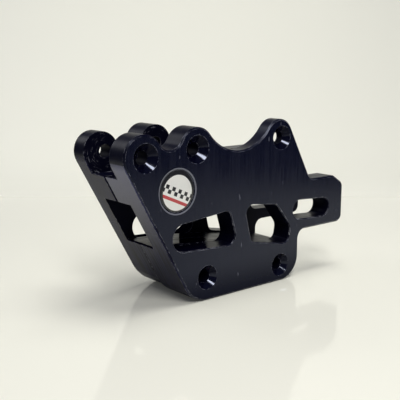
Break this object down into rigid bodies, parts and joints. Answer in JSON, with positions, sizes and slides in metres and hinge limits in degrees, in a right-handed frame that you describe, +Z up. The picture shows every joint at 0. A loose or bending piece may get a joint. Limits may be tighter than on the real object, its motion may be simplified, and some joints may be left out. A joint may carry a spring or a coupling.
{
  "type": "motorcycle chain guide",
  "caption": "Split plastic chain guide for a motorcycle swingarm, with clevis ears, windowed side plates, slotted tabs, a curved chain passage and a round badge.",
  "frame": {"origin": "centre of the overall box, at its bottom", "axes": "+X along the chain from the leaning front edge to the slotted tab, +Y across the chain from the half with the badge to the other half, +Z up from the flat bottom to the ears"},
  "size_m": [0.1466, 0.0472, 0.086],
  "materials": {
    "body_plastic": "milled black polyethylene, satin",
    "badge_resin": "clear resin dome over a white print"
  },
  "bodies": {
    "root": {"outer_half": "body_plastic", "inner_half": "body_plastic", "badge": "badge_resin"}
  },
  "joints": []
}
